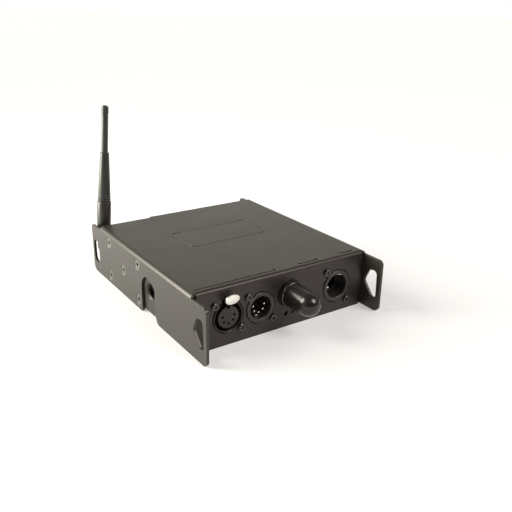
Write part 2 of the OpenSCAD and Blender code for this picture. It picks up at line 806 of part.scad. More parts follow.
module antenna_jack() color([0.80, 0.66, 0.32]) {
    difference() {
        union() {
            rod_y([ant_x, rear_y - 6, ant_z], jack_r, 11.5);
            hex_y([ant_x, rear_y - chassis_t - 2, ant_z], 8, 2);
        }
        rod_y([ant_x, rear_y + 1, ant_z], 2.2, 6);
    }
}

module jack_washer() color([0.78, 0.76, 0.70]) difference() {
    rod_y([ant_x, rear_y, ant_z], 4.6, 0.4);
    rod_y([ant_x, rear_y - 1, ant_z], jack_r + 0.1, 3);
}

module jack_nut() color([0.80, 0.66, 0.32]) difference() {
    hex_y([ant_x, rear_y + 0.4, ant_z], 8, 1.6);
    rod_y([ant_x, rear_y, ant_z], jack_r + 0.02, 4);
}

module antenna_coupling_nut() color([0.20, 0.19, 0.18]) difference() {
    rod_y([ant_x, rear_y + 2.2, ant_z], 4.5, 4.4);
    rod_y([ant_x, rear_y + 2, ant_z], jack_r + 0.02, 3.6);
    rod_y([ant_x, rear_y + 5, ant_z], 2.46, 3);
}

// The fold hinge's centre is the origin here and +Z runs along the whip
module at_knuckle() {
    translate([ant_x, ant_y, ant_z]) rotate([0, ant_lean, 0]) children();
}

// Turning base with two cheeks around the hinge
module antenna_knuckle() color([0.15, 0.14, 0.13]) at_knuckle() {
    root_y = -ant_off + 6.8;
    cheek_r = 4.2;
    root_end = -4.4;
    difference() {
        union() {
            rod_y([0, root_y, 0], knuckle_r, root_end - root_y);
            rod_y([0, root_y - 1.2, 0], 2.4, 1.3);
            intersection() {
                union() {
                    rod_x([-cheek_out, 0, 0], cheek_r, 2 * cheek_out);
                    block([-cheek_out, root_end - 0.5, -cheek_r], [cheek_out, 0, cheek_r]);
                }
                rod_y([0, root_y, 0], 5.2, 20);
            }
        }
        block([-cheek_in, root_end, -6], [cheek_in, 6, 6]);
        rod_x([-6, 0, 0], pin_r, 12);
    }
}

module hinge_pin() color([0.60, 0.58, 0.54]) at_knuckle() {
    rod_x([-cheek_out + 0.1, 0, 0], pin_r, 2 * cheek_out - 0.2);
}

// Moulded lower half of the whip: tongue, barrel, ribs and taper
module antenna_sleeve() color([0.24, 0.23, 0.21]) at_knuckle() {
    taper_top = 3.35;
    taper_foot = 4.75;
    rib_pitch = 2;
    rib_r = barrel_r - 0.35;
    difference() {
        union() {
            rod_x([-tongue_half, 0, 0], 4, 2 * tongue_half);
            block([-tongue_half, -3, 0], [tongue_half, 3, barrel_start + 0.01]);
            translate([0, 0, barrel_start]) cylinder(r1 = barrel_r - 0.8, r2 = barrel_r, h = 1);
            translate([0, 0, barrel_start + 1]) cylinder(r = barrel_r, h = rib_start - barrel_start - 1.4);
            translate([0, 0, rib_start - 0.4]) cylinder(r1 = barrel_r, r2 = rib_r - 0.5, h = 0.4);
            translate([0, 0, rib_start]) cylinder(r = rib_r - 0.5, h = 3 * rib_pitch);
            for (i = [0:2]) translate([0, 0, rib_start + 0.7 + i * rib_pitch])
                cylinder(r = rib_r - 0.1 * i, h = 1.1);
            translate([0, 0, rib_start + 3 * rib_pitch - 0.2])
                cylinder(r1 = taper_foot, r2 = taper_top, h = step_at - rib_start - 3 * rib_pitch - 0.4);
            translate([0, 0, step_at - 0.6]) cylinder(r1 = taper_top, r2 = taper_top - 0.5, h = 0.6);
        }
        rod_x([-6, 0, 0], pin_r + pin_play, 12);
        translate([0, 0, step_at - 6]) cylinder(r = rod_r + 0.02, h = 8);
    }
}

module antenna_rod() color([0.24, 0.23, 0.21]) at_knuckle() {
    translate([0, 0, step_at - 5.9]) cylinder(r = rod_r, h = ant_len - tip_len - step_at + 5.9);
    translate([0, 0, ant_len - tip_len - 0.01]) cylinder(r = 1.2, h = 3);
}

// Cap with a shallow neck and a round end
module antenna_tip() color([0.22, 0.21, 0.19]) at_knuckle() {
    cap_r = 2.6;
    neck_h = 0.8;
    translate([0, 0, ant_len - tip_len]) difference() {
        union() {
            cylinder(r = 2.2, h = neck_h + 0.2);
            translate([0, 0, neck_h]) cylinder(r = cap_r, h = tip_len - neck_h - 1.6);
            intersection() {
                translate([0, 0, tip_len - cap_r * 1.3]) sphere(r = cap_r * 1.3);
                translate([0, 0, tip_len - 1.61]) cylinder(r = cap_r, h = 3);
            }
        }
        translate([0, 0, -1]) cylinder(r = 1.22, h = 4.1);
    }
}

// ---------- power inlet ----------

module power_inlet() color([0.14, 0.14, 0.14]) difference() {
    union() {
        rod_y([inlet_x, rear_y - 12, inlet_z], inlet_r, 14.5);
        rod_y([inlet_x, rear_y, inlet_z], inlet_r + 1.5, 1.5);
    }
    rod_y([inlet_x, rear_y - 8, inlet_z], 3, 12);
}

module power_inlet_pin() color([0.82, 0.80, 0.74]) {
    rod_y([inlet_x, rear_y - 8, inlet_z], 1, 8.5);
}

module power_inlet_nut() color([0.70, 0.68, 0.62]) difference() {
    hex_y([inlet_x, rear_y - chassis_t - 2.2, inlet_z], 14, 2.2);
    rod_y([inlet_x, rear_y - 6, inlet_z], inlet_r + 0.02, 6);
}

top_cover();
chassis_tray();
mounting_bracket();
clamp_bush();
bracket_screws();
cover_screws();
foot_screws();
xlr_out_shell();
xlr_out_insert();
xlr_out_contacts();
xlr_out_latch();
xlr_in_shell();
xlr_in_pins();
xlr_in_ground_spring();
net_shell();
net_jack();
net_contacts();
net_ground_springs();
connector_screws();
dome_collar();
dome_cover();
dome_nut();
dome_radiator();
status_lens();
function_button();
button_switch();
main_board();
board_standoffs();
board_screws();
board_chips();
board_capacitors();
signal_transformers();
radio_module();
radio_shield();
power_board();
power_coil();
front_coax();
rear_coax();
antenna_jack();
jack_washer();
jack_nut();
antenna_coupling_nut();
antenna_knuckle();
hinge_pin();
antenna_sleeve();
antenna_rod();
antenna_tip();
power_inlet();
power_inlet_pin();
power_inlet_nut();
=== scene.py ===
"""Looks of the wireless data receiver: finishes, turned and moulded pieces, light and camera.

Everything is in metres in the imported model's own frame: +X right, +Y to the back, +Z up.
"""

import json
import math

import bmesh
import bpy
from mathutils import Matrix, Vector


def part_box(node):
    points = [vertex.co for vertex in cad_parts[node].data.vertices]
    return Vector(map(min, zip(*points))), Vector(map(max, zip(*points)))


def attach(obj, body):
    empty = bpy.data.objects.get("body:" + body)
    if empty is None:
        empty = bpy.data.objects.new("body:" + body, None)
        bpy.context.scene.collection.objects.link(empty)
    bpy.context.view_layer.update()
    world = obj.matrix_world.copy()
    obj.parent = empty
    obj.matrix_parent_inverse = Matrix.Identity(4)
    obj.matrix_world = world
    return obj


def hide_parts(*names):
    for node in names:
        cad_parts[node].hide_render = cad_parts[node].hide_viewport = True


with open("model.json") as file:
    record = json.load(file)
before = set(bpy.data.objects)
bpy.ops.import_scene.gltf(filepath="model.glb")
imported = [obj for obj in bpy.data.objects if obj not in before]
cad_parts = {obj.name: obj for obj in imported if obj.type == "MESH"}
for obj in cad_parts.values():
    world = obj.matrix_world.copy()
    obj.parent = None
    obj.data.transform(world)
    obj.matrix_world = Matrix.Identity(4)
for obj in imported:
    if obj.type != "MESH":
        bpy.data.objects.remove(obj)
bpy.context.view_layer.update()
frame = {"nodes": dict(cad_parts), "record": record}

MM = 0.001
NODES = frame["nodes"]
JOINTS = {j["name"]: j for j in frame["record"]["behaviour"]["joints"]}
SLOT_OF = {s["node"]: s["material_slot"] for s in frame["record"]["subparts"]}


# ---------- materials ----------


class Paint:
    """A node material with one Principled shader, and short calls to add nodes to it."""

    def __init__(self, name):
        self.material = bpy.data.materials.new(name)
        self.material.use_nodes = True
        self.tree = self.material.node_tree
        self.shader = self.tree.nodes["Principled BSDF"]
        self.place = self.add("ShaderNodeTexCoord").outputs["Object"]

    def add(self, kind, inputs=None, **settings):
        node = self.tree.nodes.new(kind)
        for key, value in settings.items():
            setattr(node, key, value)
        for key, value in (inputs or {}).items():
            self.put(node.inputs[key], value)
        return node

    def put(self, socket, value):
        if isinstance(value, bpy.types.NodeSocket):
            self.tree.links.new(value, socket)
        else:
            socket.default_value = value

    def set(self, **values):
        for key, value in values.items():
            self.put(self.shader.inputs[key.replace("_", " ")], value)

    def noise(self, size, detail=3.0, stretch=(1, 1, 1), roughness=0.5):
        """Noise from 0 to 1 whose features are about size metres across."""
        where = self.add("ShaderNodeMapping", {"Vector": self.place, "Scale": stretch}).outputs[0]
        return self.add("ShaderNodeTexNoise", {"Vector": where, "Scale": 1 / size, "Detail": detail,
                                               "Roughness": roughness}).outputs["Fac"]

    def ramp(self, value, low, high, out_low=0.0, out_high=1.0):
        """Value from low to high, stretched to run from out_low to out_high."""
        return self.add("ShaderNodeMapRange", {"Value": value, "From Min": low, "From Max": high,
                                               "To Min": out_low, "To Max": out_high}).outputs[0]

    def math(self, operation, a, b=0.0):
        node = self.add("ShaderNodeMath", operation=operation)
        self.put(node.inputs[0], a)
        self.put(node.inputs[1], b)
        return node.outputs[0]

    def mix(self, share, a, b):
        """Colour a where share is 0, colour b where it is 1."""
        node = self.add("ShaderNodeMix", data_type="RGBA")
        self.put(node.inputs[0], share)
        self.put(node.inputs[6], rgba(a))
        self.put(node.inputs[7], rgba(b))
        return node.outputs[2]

    def bump(self, height, depth, strength=1.0, under=None):
        """A normal from a height of 0 to 1 that stands for depth metres."""
        node = self.add("ShaderNodeBump", {"Height": height, "Distance": depth, "Strength": strength})
        if under is not None:
            self.put(node.inputs["Normal"], under)
        return node.outputs[0]

    def soft_edges(self, radius):
        """A normal that rounds every edge off to radius."""
        return self.add("ShaderNodeBevel", {"Radius": radius}, samples=6).outputs[0]

    def edge_mask(self, soft_normal, low, high):
        """1 along edges, 0 on the flats."""
        flat = self.add("ShaderNodeNewGeometry").outputs["Normal"]
        dot = self.add("ShaderNodeVectorMath", operation="DOT_PRODUCT")
        self.put(dot.inputs[0], soft_normal)
        self.put(dot.inputs[1], flat)
        return self.ramp(self.math("SUBTRACT", 1.0, dot.outputs["Value"]), low, high)


def rgba(value):
    if isinstance(value, bpy.types.NodeSocket):
        return value
    return (*value, 1.0)


def shade(colour, factor):
    return tuple(c * factor for c in colour)


def powder_coat(name, colour, wear_and_highlight, rough=0.4):
    """Fine-textured baked paint: orange-peel grain, cloudy tone, rubbed edges and a few scuffs."""
    p = Paint(name)
    grain, grain_depth, edge_r = 0.34 * MM, 0.03 * MM, 0.45 * MM
    rub_share = 0.75
    cloud = p.noise(26 * MM, 4)
    speck = p.noise(grain, 2)
    tone = p.mix(p.ramp(cloud, 0.3, 0.7), shade(colour, 0.95), shade(colour, 1.05))
    tone = p.mix(p.ramp(speck, 0.42, 0.7, 0, 0.3), tone, shade(colour, 1.5))
    normal = p.soft_edges(edge_r)
    edge = p.math("MULTIPLY", p.edge_mask(normal, 0.01, 0.12), p.ramp(p.noise(1.6 * MM, 4), 0.35, 0.62))
    scuff = p.ramp(p.noise(9 * MM, 6, (1, 1, 4), 0.7), 0.68, 0.82, 0, 0.15)
    tone = p.mix(p.math("MULTIPLY", edge, rub_share), tone, wear_and_highlight)
    tone = p.mix(scuff, tone, shade(colour, 1.4))
    p.set(Base_Color=tone, Roughness=p.ramp(p.noise(16 * MM, 4), 0.2, 0.8, rough - 0.02, rough + 0.04),
          Normal=p.bump(speck, grain_depth, 0.55, normal))
    return p.material


def moulded(name, colour, rough=0.45):
    """Moulded plastic: fine spark-erosion texture, slight flow clouds, polished edges."""
    p = Paint(name)
    edge_r, rub_share = 0.25 * MM, 0.5
    fine = p.noise(0.16 * MM, 2)
    flow = p.noise(6 * MM, 3, (1, 1, 0.4))
    normal = p.soft_edges(edge_r)
    tone = p.mix(p.ramp(flow, 0.3, 0.7), shade(colour, 0.85), shade(colour, 1.2))
    rubbed = p.math("MULTIPLY", p.edge_mask(normal, 0.02, 0.2), p.ramp(p.noise(1.1 * MM, 3), 0.35, 0.7))
    tone = p.mix(p.math("MULTIPLY", rubbed, rub_share), tone, tuple(c * 1.5 + 0.02 for c in colour))
    p.set(Base_Color=tone, Roughness=p.ramp(fine, 0.2, 0.8, rough - 0.07, rough + 0.07),
          Normal=p.bump(fine, 0.012 * MM, 0.4, normal))
    return p.material


def metal(name, colour, rough=0.3, brush=(1, 1, 1), stain=0.15, edge=0.12 * MM, wear_and_highlight=None):
    """Plated or bare metal: marks stretched along brush, cloudy tarnish, and lighter edges, which on the
    dome's collar are a painted highlight.
    """
    p = Paint(name)
    marks = p.noise(0.35 * MM, 4, brush)
    cloud = p.noise(3 * MM, 4)
    normal = p.soft_edges(edge)
    tone = p.mix(p.ramp(marks, 0.3, 0.7), shade(colour, 0.86), shade(colour, 1.1))
    tone = p.mix(p.ramp(cloud, 0.5, 0.8, 0, stain), tone, shade(colour, 0.4))
    # lighter colour along the edges: on the dome's collar this is a painted highlight on the rim's rounded
    # edge
    if wear_and_highlight is not None:
        tone = p.mix(p.edge_mask(normal, 0.02, 0.12), tone, wear_and_highlight)
    p.set(Base_Color=tone, Roughness=p.ramp(cloud, 0.2, 0.8, rough - 0.06, rough + 0.1),
          Normal=p.bump(marks, 0.006 * MM, 0.5, normal))
    p.shader.inputs["Metallic"].default_value = 1.0
    return p.material


def polished(name, colour, rough=0.08, coat=0.0):
    """Polished plastic with hair marks and finger haze."""
    p = Paint(name)
    haze = p.noise(5 * MM, 4)
    hairs = p.noise(0.3 * MM, 2, (1, 0.15, 1))
    tone = p.mix(p.ramp(haze, 0.3, 0.7), shade(colour, 0.85), shade(colour, 1.3))
    p.set(Base_Color=tone, Roughness=p.ramp(haze, 0.35, 0.75, rough, rough + 0.09),
          Normal=p.bump(hairs, 0.0015 * MM, 0.25))
    p.shader.inputs["Coat Weight"].default_value = coat
    p.shader.inputs["Coat Roughness"].default_value = 0.04
    return p.material


def circuit(name, colour, track):
    """Solder mask over copper tracks in a net of cells and a grid of lanes, with round tinned pads."""
    p = Paint(name)
    cell_size, lane_size, pad_pitch = 3.1 * MM, 22 * MM, 4.4 * MM
    tin, black, white = (0.7, 0.7, 0.66), (0, 0, 0), (1, 1, 1)
    cells = p.add("ShaderNodeTexVoronoi", {"Vector": p.place, "Scale": 1 / cell_size},
                  feature="DISTANCE_TO_EDGE")
    lanes = p.add("ShaderNodeTexBrick", {"Vector": p.place, "Scale": 1 / lane_size, "Mortar Size": 0.012,
                                         "Mortar Smooth": 0.1, "Color1": rgba(black), "Color2": rgba(black),
                                         "Mortar": rgba(white)})
    tracks = p.math("MAXIMUM", p.ramp(cells.outputs["Distance"], 0.05, 0.03),
                    p.ramp(lanes.outputs["Fac"], 0.3, 0.6))
    pads = p.add("ShaderNodeTexVoronoi", {"Vector": p.place, "Scale": 1 / pad_pitch})
    pad = p.ramp(pads.outputs["Distance"], 0.15, 0.12)
    tone = p.mix(tracks, p.mix(p.noise(9 * MM), shade(colour, 0.8), shade(colour, 1.2)), track)
    tone = p.mix(pad, tone, tin)
    p.set(Base_Color=tone, Roughness=p.ramp(pad, 0, 1, 0.32, 0.45),
          Normal=p.bump(p.math("MAXIMUM", tracks, pad), 0.03 * MM, 0.6))
    return p.material


# colour under the gloss of the case's paint
PAINT = (0.022, 0.0188, 0.0145)
FINISH = {
    "cover_paint": powder_coat("cover_paint", PAINT, (0.13, 0.12, 0.105), 0.38),
    # the tray's paint is the cover's paint darkened to 0.8: painted shade for the front panel, which faces
    # away from the lights
    "chassis_paint": powder_coat("chassis_paint", shade(PAINT, 0.8), (0.12, 0.11, 0.10), 0.4),
    # the bracket's paint is the cover's paint darkened to 0.6: painted shade for its face deep in the clamp
    # slot
    "bracket_steel": powder_coat("bracket_steel", shade(PAINT, 0.6), (0.20, 0.19, 0.175)),
    "zinc_steel": metal("zinc_steel", (0.60, 0.59, 0.55), 0.3),
    "bush_steel": metal("bush_steel", (0.055, 0.053, 0.048), 0.5),
    "bare_screw": metal("bare_screw", (0.17, 0.16, 0.14), 0.36),
    "black_screw": metal("black_screw", (0.095, 0.087, 0.078), 0.27),
    "connector_black": moulded("connector_black", (0.024, 0.0218, 0.0185), 0.36),
    "insert_grey": moulded("insert_grey", (0.018, 0.016, 0.0135), 0.5),
    "contact_brass": metal("contact_brass", (0.72, 0.56, 0.28), 0.25),
    "latch_nickel": metal("latch_nickel", (0.94, 0.915, 0.85), 0.36, (1, 1, 1), 0.02),
    "pin_silver": metal("pin_silver", (0.90, 0.88, 0.84), 0.18, (1, 1, 1), 0.05),
    "jack_black": moulded("jack_black", (0.014, 0.014, 0.014), 0.5),
    "contact_gold": metal("contact_gold", (0.95, 0.72, 0.34), 0.22),
    # the collar's light edge colour is a painted highlight on the rim's rounded edge, not wear
    "collar_metal": metal("collar_metal", (0.10, 0.093, 0.083), 0.3, edge=0.4 * MM, wear_and_highlight=(0.7, 0.68, 0.63)),
    "dome_smoke": polished("dome_smoke", (0.012, 0.0105, 0.009), 0.2),
    "lamp_lens": polished("lamp_lens", (0.008, 0.008, 0.008), 0.12, 0.3),
    "button_black": moulded("button_black", (0.01, 0.01, 0.01), 0.55),
    "board_green": circuit("board_green", (0.008, 0.07, 0.022), (0.02, 0.14, 0.05)),
    "board_blue": circuit("board_blue", (0.006, 0.03, 0.10), (0.015, 0.07, 0.2)),
    "chip_black": moulded("chip_black", (0.016, 0.016, 0.016), 0.5),
    "capacitor_sleeve": polished("capacitor_sleeve", (0.012, 0.016, 0.05), 0.2),
    "shield_tin": metal("shield_tin", (0.75, 0.74, 0.71), 0.28, (6, 1, 1)),
    "coil_core": moulded("coil_core", (0.05, 0.047, 0.044), 0.75),
    "coax_black": moulded("coax_black", (0.014, 0.014, 0.014), 0.45),
    "antenna_black": moulded("antenna_black", (0.020, 0.018, 0.015), 0.42),
    "antenna_plastic": moulded("antenna_plastic", (0.022, 0.020, 0.0165), 0.40),
}

# colour of the gloss, which is a touch red on the dark paints and plastics
GLOSS = {
    "cover_paint": (1, 0.93, 0.91),
    "chassis_paint": (1, 0.84, 0.87),
    "bracket_steel": (1, 0.87, 0.88),
    "connector_black": (1, 0.86, 0.85),
    "insert_grey": (1, 0.84, 0.83),
    "dome_smoke": (1, 0.94, 0.95),
}
for paint_name, gloss in GLOSS.items():
    FINISH[paint_name].node_tree.nodes["Principled BSDF"].inputs["Specular Tint"].default_value = rgba(gloss)

for node_name, node_object in NODES.items():
    for material_slot in node_object.material_slots:
        material_slot.material = FINISH[SLOT_OF[node_name]]


# ---------- mesh helpers ----------


def solids(node):
    """(lowest corner, highest corner) of each separate solid in a CAD node."""
    same_point = 1e-6
    mesh = bmesh.new()
    mesh.from_mesh(NODES[node].data)
    bmesh.ops.remove_doubles(mesh, verts=mesh.verts, dist=same_point)
    left, found = set(mesh.verts), []
    while left:
        stack, group = [left.pop()], []
        while stack:
            vert = stack.pop()
            group.append(vert.co.copy())
            for edge in vert.link_edges:
                other = edge.other_vert(vert)
                if other in left:
                    left.remove(other)
                    stack.append(other)
        found.append((Vector(map(min, zip(*group))), Vector(map(max, zip(*group)))))
    mesh.free()
    return sorted(found, key=lambda b: tuple(b[0]))


def middle(box):
    return (box[0] + box[1]) / 2


def soften(points, radius, steps=4):
    """A polyline with each inner corner rounded, over less than half of the sides next to it."""
    most = 0.45
    out = [Vector(points[0])]
    for before, corner, after in zip(points, points[1:], points[2:]):
        c = Vector(corner)
        a, b = Vector(before) - c, Vector(after) - c
        reach = min(radius, a.length * most, b.length * most)
        a, b = c + a.normalized() * reach, c + b.normalized() * reach
        for i in range(steps + 1):
            t = i / steps
            out.append(a * (1 - t) ** 2 + c * 2 * t * (1 - t) + b * t * t)
    return out + [Vector(points[-1])]


def arc(radius, centre, start, stop, steps=20):
    """Profile points on a circle about (0, centre), from start to stop in degrees from the axis' right."""
    angles = [math.radians(start + (stop - start) * i / steps) for i in range(steps + 1)]
    return [(radius * math.cos(a), centre + radius * math.sin(a)) for a in angles]


def lathe(profile, segments=96, shape=None, closed=False):
    """A bmesh turned about +Z from (radius, height) points in millimetres.

    shape(radius, height, angle) may give another radius. A radius of 0 closes in one point.
    """
    on_axis = 1e-6
    mesh = bmesh.new()
    rings = []
    for radius, height in profile:
        if radius <= on_axis:
            rings.append([mesh.verts.new((0, 0, height * MM))])
            continue
        ring = []
        for i in range(segments):
            angle = 2 * math.pi * i / segments
            r = (shape(radius, height, angle) if shape else radius) * MM
            ring.append(mesh.verts.new((r * math.cos(angle), r * math.sin(angle), height * MM)))
        rings.append(ring)
    pairs = list(zip(rings, rings[1:])) + ([(rings[-1], rings[0])] if closed else [])
    for low, high in pairs:
        for i in range(segments):
            k = (i + 1) % segments
            corners = [low[i % len(low)], low[k % len(low)], high[k % len(high)], high[i % len(high)]]
            corners = [c for n, c in enumerate(corners) if c not in corners[:n]]
            if len(corners) > 2:
                mesh.faces.new(corners)
    return mesh


def stack(outline, layers):
    """A bmesh of outline(inset) loops at each (inset, height), in millimetres, capped at both ends."""
    mesh = bmesh.new()
    rings = [[mesh.verts.new((x * MM, y * MM, z * MM)) for x, y in outline(inset)] for inset, z in layers]
    count = len(rings[0])
    for low, high in zip(rings, rings[1:]):
        for i in range(count):
            k = (i + 1) % count
            mesh.faces.new((low[i], low[k], high[k], high[i]))
    mesh.faces.new(list(reversed(rings[0])))
    mesh.faces.new(rings[-1])
    return mesh


def round_rect(width, depth, corner, steps=8):
    """outline(inset) of a rectangle with round corners."""
    smallest_r = 0.02

    def outline(inset):
        r = max(corner - inset, smallest_r)
        w, d = width / 2 - inset - r, depth / 2 - inset - r
        points = []
        for x, y, start in ((w, d, 0), (-w, d, 90), (-w, -d, 180), (w, -d, 270)):
            for i in range(steps + 1):
                angle = math.radians(start + 90 * i / steps)
                points.append((x + r * math.cos(angle), y + r * math.sin(angle)))
        return points
    return outline


def hexagon(across):
    """shape for lathe: a hexagonal radius wherever the profile lies within half the size across flats."""
    reach = across / 2 * 1.01
    sixth = math.pi / 3

    def radius_at(radius, _height, angle):
        if radius > reach:
            return radius
        return radius / math.cos((angle + sixth / 2) % sixth - sixth / 2)
    return radius_at


def merged(parts):
    """One bmesh from several (bmesh, matrix) pairs."""
    whole = bmesh.new()
    for part, matrix in parts:
        part.transform(matrix)
        scratch = bpy.data.meshes.new("scratch")
        part.to_mesh(scratch)
        part.free()
        whole.from_mesh(scratch)
        bpy.data.meshes.remove(scratch)
    return whole


def piece(name, mesh, body, slot, replaced=(), matrix=None, sharp=32):
    """Makes the object, smooth but for edges sharper than sharp degrees, hangs it on its body's empty and
    hides the parts it replaces.
    """
    if matrix is not None:
        mesh.transform(matrix)
    bmesh.ops.recalc_face_normals(mesh, faces=mesh.faces)
    data = bpy.data.meshes.new(name)
    mesh.to_mesh(data)
    mesh.free()
    data.shade_smooth()
    data.set_sharp_from_angle(angle=math.radians(sharp))
    data.materials.append(FINISH[slot])
    made = bpy.data.objects.new(name, data)
    bpy.context.scene.collection.objects.link(made)
    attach(made, body)
    if replaced:
        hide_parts(*replaced)
    return made


def at(place, turn=(0, 0, 0)):
    """Matrix that turns about X, Y and Z by degrees and then moves to place."""
    spin = Matrix.Identity(4)
    for axis, angle in zip("XYZ", turn):
        spin = Matrix.Rotation(math.radians(angle), 4, axis) @ spin
    return Matrix.Translation(Vector(place)) @ spin


OUT_OF_FRONT = (90, 0, 0)
OUT_OF_LEFT = (0, -90, 0)
OUT_OF_RIGHT = (0, 90, 0)
OUT_OF_BASE = (180, 0, 0)
OUT_OF_REAR = (-90, 0, 0)

front_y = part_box("chassis_tray")[0].y


# ---------- dome ----------


def dome_and_collar():
    """The hollow round-ended dome, and the bevelled ring that it stands in."""
    collar_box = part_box("dome_collar")
    centre = middle(collar_box)
    place = (centre.x, front_y, centre.z)
    foot_r, tip_r, wall = 8.7, 7.96, 1.2
    neck_r, bore_r, neck_deep = 6.9, 5.7, 8
    foot_round, steps = 0.3, 12
    barrel = (front_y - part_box("dome_cover")[0].y) / MM - tip_r
    foot = [(foot_r - foot_round, 0), (foot_r, 0), (foot_r - 0.02, foot_round * 2)]
    skin = [(bore_r, -neck_deep), (neck_r, -neck_deep), (neck_r, 0)] + soften(foot, 0.25)
    skin += [(foot_r + (tip_r - foot_r) * i / steps, barrel * i / steps) for i in range(1, steps)]
    skin += arc(tip_r, barrel, 0, 90, 32)[:-1] + [(0, barrel + tip_r)]
    lining = arc(tip_r - wall, barrel, 90, 0, 24)[1:]
    skin += [(0, barrel + tip_r - wall)] + lining + [(tip_r - wall, 0.5), (bore_r, 0)]
    piece("dome_shell", lathe(skin, 128, closed=True), "unit", "dome_smoke", ["dome_cover"],
          at(place, OUT_OF_FRONT))
    ring_r, ring_t = (collar_box[1].x - collar_box[0].x) / 2 / MM, (collar_box[1].y - collar_box[0].y) / MM
    rim_t, play, off_panel = 2.3, 0.12, 0.02
    ring = [(foot_r + play, ring_t), (foot_r + play, off_panel), (ring_r, off_panel), (ring_r, rim_t),
            (foot_r + 0.3, ring_t)]
    ring = soften(ring + [ring[0]], 0.15)[:-1]
    piece("dome_ring", lathe(ring, 128, closed=True), "unit", "collar_metal", ["dome_collar"],
          at(place, OUT_OF_FRONT))


dome_and_collar()


# ---------- fasteners ----------


def shank_end(shank_r, shank, bevel=0.2):
    """Profile of a plain shank's lower end, from the axis out."""
    return [(0, -shank), (shank_r - bevel, -shank), (shank_r, -shank + bevel)]


def pan_head(head_r, height, key, shank_r, shank):
    """Round-edged head with a hexagon socket and a plain shank, standing on height 0."""
    half = key / 2
    deep = height * 0.35
    crown = [(head_r - 0.15, 0), (head_r, 0.15), (head_r * 0.99, height * 0.72),
             (head_r * 0.95, height * 0.88), (head_r * 0.84, height)]
    profile = shank_end(shank_r, shank) + [(shank_r, 0)]
    profile += soften(crown, 0.25, 3) + [(half * 1.3, height), (half * 1.0, height - 0.12), (half, deep),
                                         (half * 0.4, deep - 0.15), (0, deep - 0.25)]
    return lathe(profile, 48, hexagon(key))


def flat_head(head_r, head_h, key, shank_r, shank):
    """Countersunk head with its face at height 0, a hexagon socket and a shank below."""
    half = key / 2
    deep = -head_h * 0.75
    profile = shank_end(shank_r, shank)
    profile += [(shank_r, -head_h), (head_r - 0.06, -0.08), (head_r - 0.1, -0.01), (head_r - 0.3, 0),
                (half * 1.35, 0), (half * 1.02, -0.12), (half, deep), (half * 0.4, deep - 0.12),
                (0, deep - 0.2)]
    return lathe(profile, 48, hexagon(key))


def row_of_heads(node, head, turn, face):
    """One bmesh of the node's screws; face(box) is the point that a head's height 0 stands at.

    Each screw is turned on by an eighth of a circle from the one before.
    """
    heads = []
    for number, box in enumerate(solids(node)):
        spin = Matrix.Rotation(math.pi / 4 * number, 4, "Z")
        heads.append((head(), at(face(box), turn) @ spin))
    return merged(heads)


def on_panel(box):
    c = middle(box)
    return c.x, front_y, c.z


def on_side(axis, end):
    """face for row_of_heads: the middle of the box's side at its low (0) or high (1) end on an axis."""
    def face(box):
        c = middle(box)
        c[axis] = box[end][axis]
        return c
    return face


def fasteners():
    def panel_screw():
        return pan_head(head_r=2.65, height=1.6, key=2.2, shank_r=1.23, shank=6)

    def bracket_screw():
        return flat_head(head_r=4.0, head_h=1.6, key=2.5, shank_r=1.98, shank=6.5)

    def cover_screw():
        return flat_head(head_r=2.9, head_h=1.4, key=2.0, shank_r=1.48, shank=6)

    def foot_screw():
        return flat_head(head_r=2.9, head_h=1.3, key=2.0, shank_r=1.48, shank=4.3)

    x, z = 0, 2
    for node, head, slot, turn, face in (
        ("connector_screws", panel_screw, "black_screw", OUT_OF_FRONT, on_panel),
        ("bracket_screws", bracket_screw, "bare_screw", OUT_OF_LEFT, on_side(x, 0)),
        ("cover_screws", cover_screw, "black_screw", OUT_OF_RIGHT, on_side(x, 1)),
        ("foot_screws", foot_screw, "black_screw", OUT_OF_BASE, on_side(z, 0)),
    ):
        piece(node + "_turned", row_of_heads(node, head, turn, face), "unit", slot, [node])


fasteners()


# ---------- clamp bush with its thread ----------


def clamp_bush():
    """Flanged bush, threaded along its bore but for a plain run at both ends."""
    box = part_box("clamp_bush")
    c = middle(box)
    length = (box[1].x - box[0].x) / MM
    bore_r, mouth_r, pitch, thread_deep = 5.1, 6.2, 1.75, 0.85
    body_r, flange_r, flange_at, flange_end = 7.0, 8.6, 3.9, 6.4
    bevel, edge = 0.2, 0.15
    plain_in, plain_out, fade_over = 1.2, 0.6, 0.8
    rows_per_turn = 10

    def thread(radius, height, angle):
        if abs(radius - bore_r) > 0.01:
            return radius
        fade = min(1.0, (height - plain_in) / fade_over, (length - plain_out - height) / fade_over)
        phase = (height / pitch - angle / (2 * math.pi)) % 1.0
        flank = min(1.0, max(0.0, 1.6 * (1 - abs(2 * phase - 1)) - 0.3))
        return radius + max(0.0, fade) * thread_deep * flank

    outside = [(mouth_r, 0), (body_r - edge, 0), (body_r, edge), (body_r, flange_at),
               (flange_r - bevel, flange_at), (flange_r, flange_at + bevel), (flange_r, flange_end - bevel),
               (flange_r - bevel, flange_end), (body_r, flange_end), (body_r, length - 0.3),
               (body_r - 0.3, length), (bore_r + 0.5, length)]
    run = length - 1.6
    rows = int(run / pitch * rows_per_turn)
    inside = [(bore_r, length - 0.5 - run * i / rows) for i in range(rows + 1)]
    piece("clamp_bush_threaded", lathe(outside + inside, 96, thread, closed=True), "unit", "bush_steel",
          ["clamp_bush"], at((box[0].x, c.y, c.z), OUT_OF_RIGHT), 40)


clamp_bush()


# ---------- outlet latch ----------


